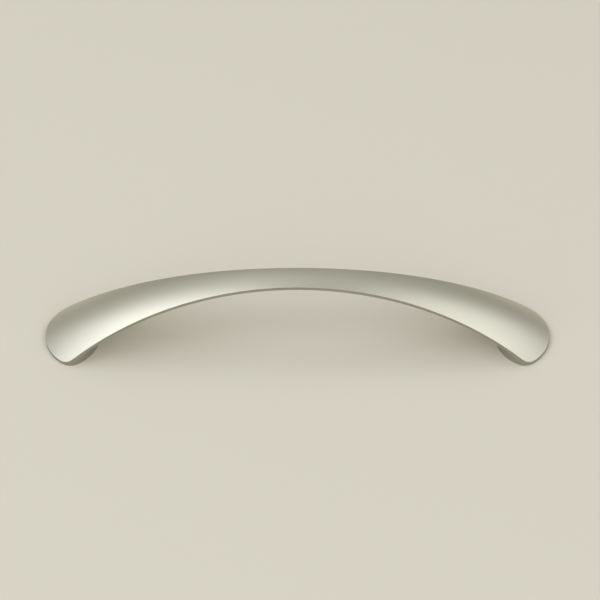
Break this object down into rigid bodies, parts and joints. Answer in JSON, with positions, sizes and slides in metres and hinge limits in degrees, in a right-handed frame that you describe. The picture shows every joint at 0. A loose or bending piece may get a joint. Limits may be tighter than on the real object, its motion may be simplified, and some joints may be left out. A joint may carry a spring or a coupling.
{
  "type": "cabinet handle",
  "caption": "Bow-shaped cabinet handle, slim at mid length and flared at its rounded ends, with flat feet tapped for screws from behind a door or drawer front.",
  "frame": {"origin": "centre of the mounting face, midway between the screw holes", "axes": "+X along the handle, +Y across it, +Z away from the door, out of the mounting face"},
  "size_m": [0.15, 0.023, 0.026],
  "materials": {
    "satin_nickel": "satin nickel plating on a zinc die-casting"
  },
  "bodies": {
    "root": {"bow_handle": "satin_nickel"}
  },
  "joints": []
}
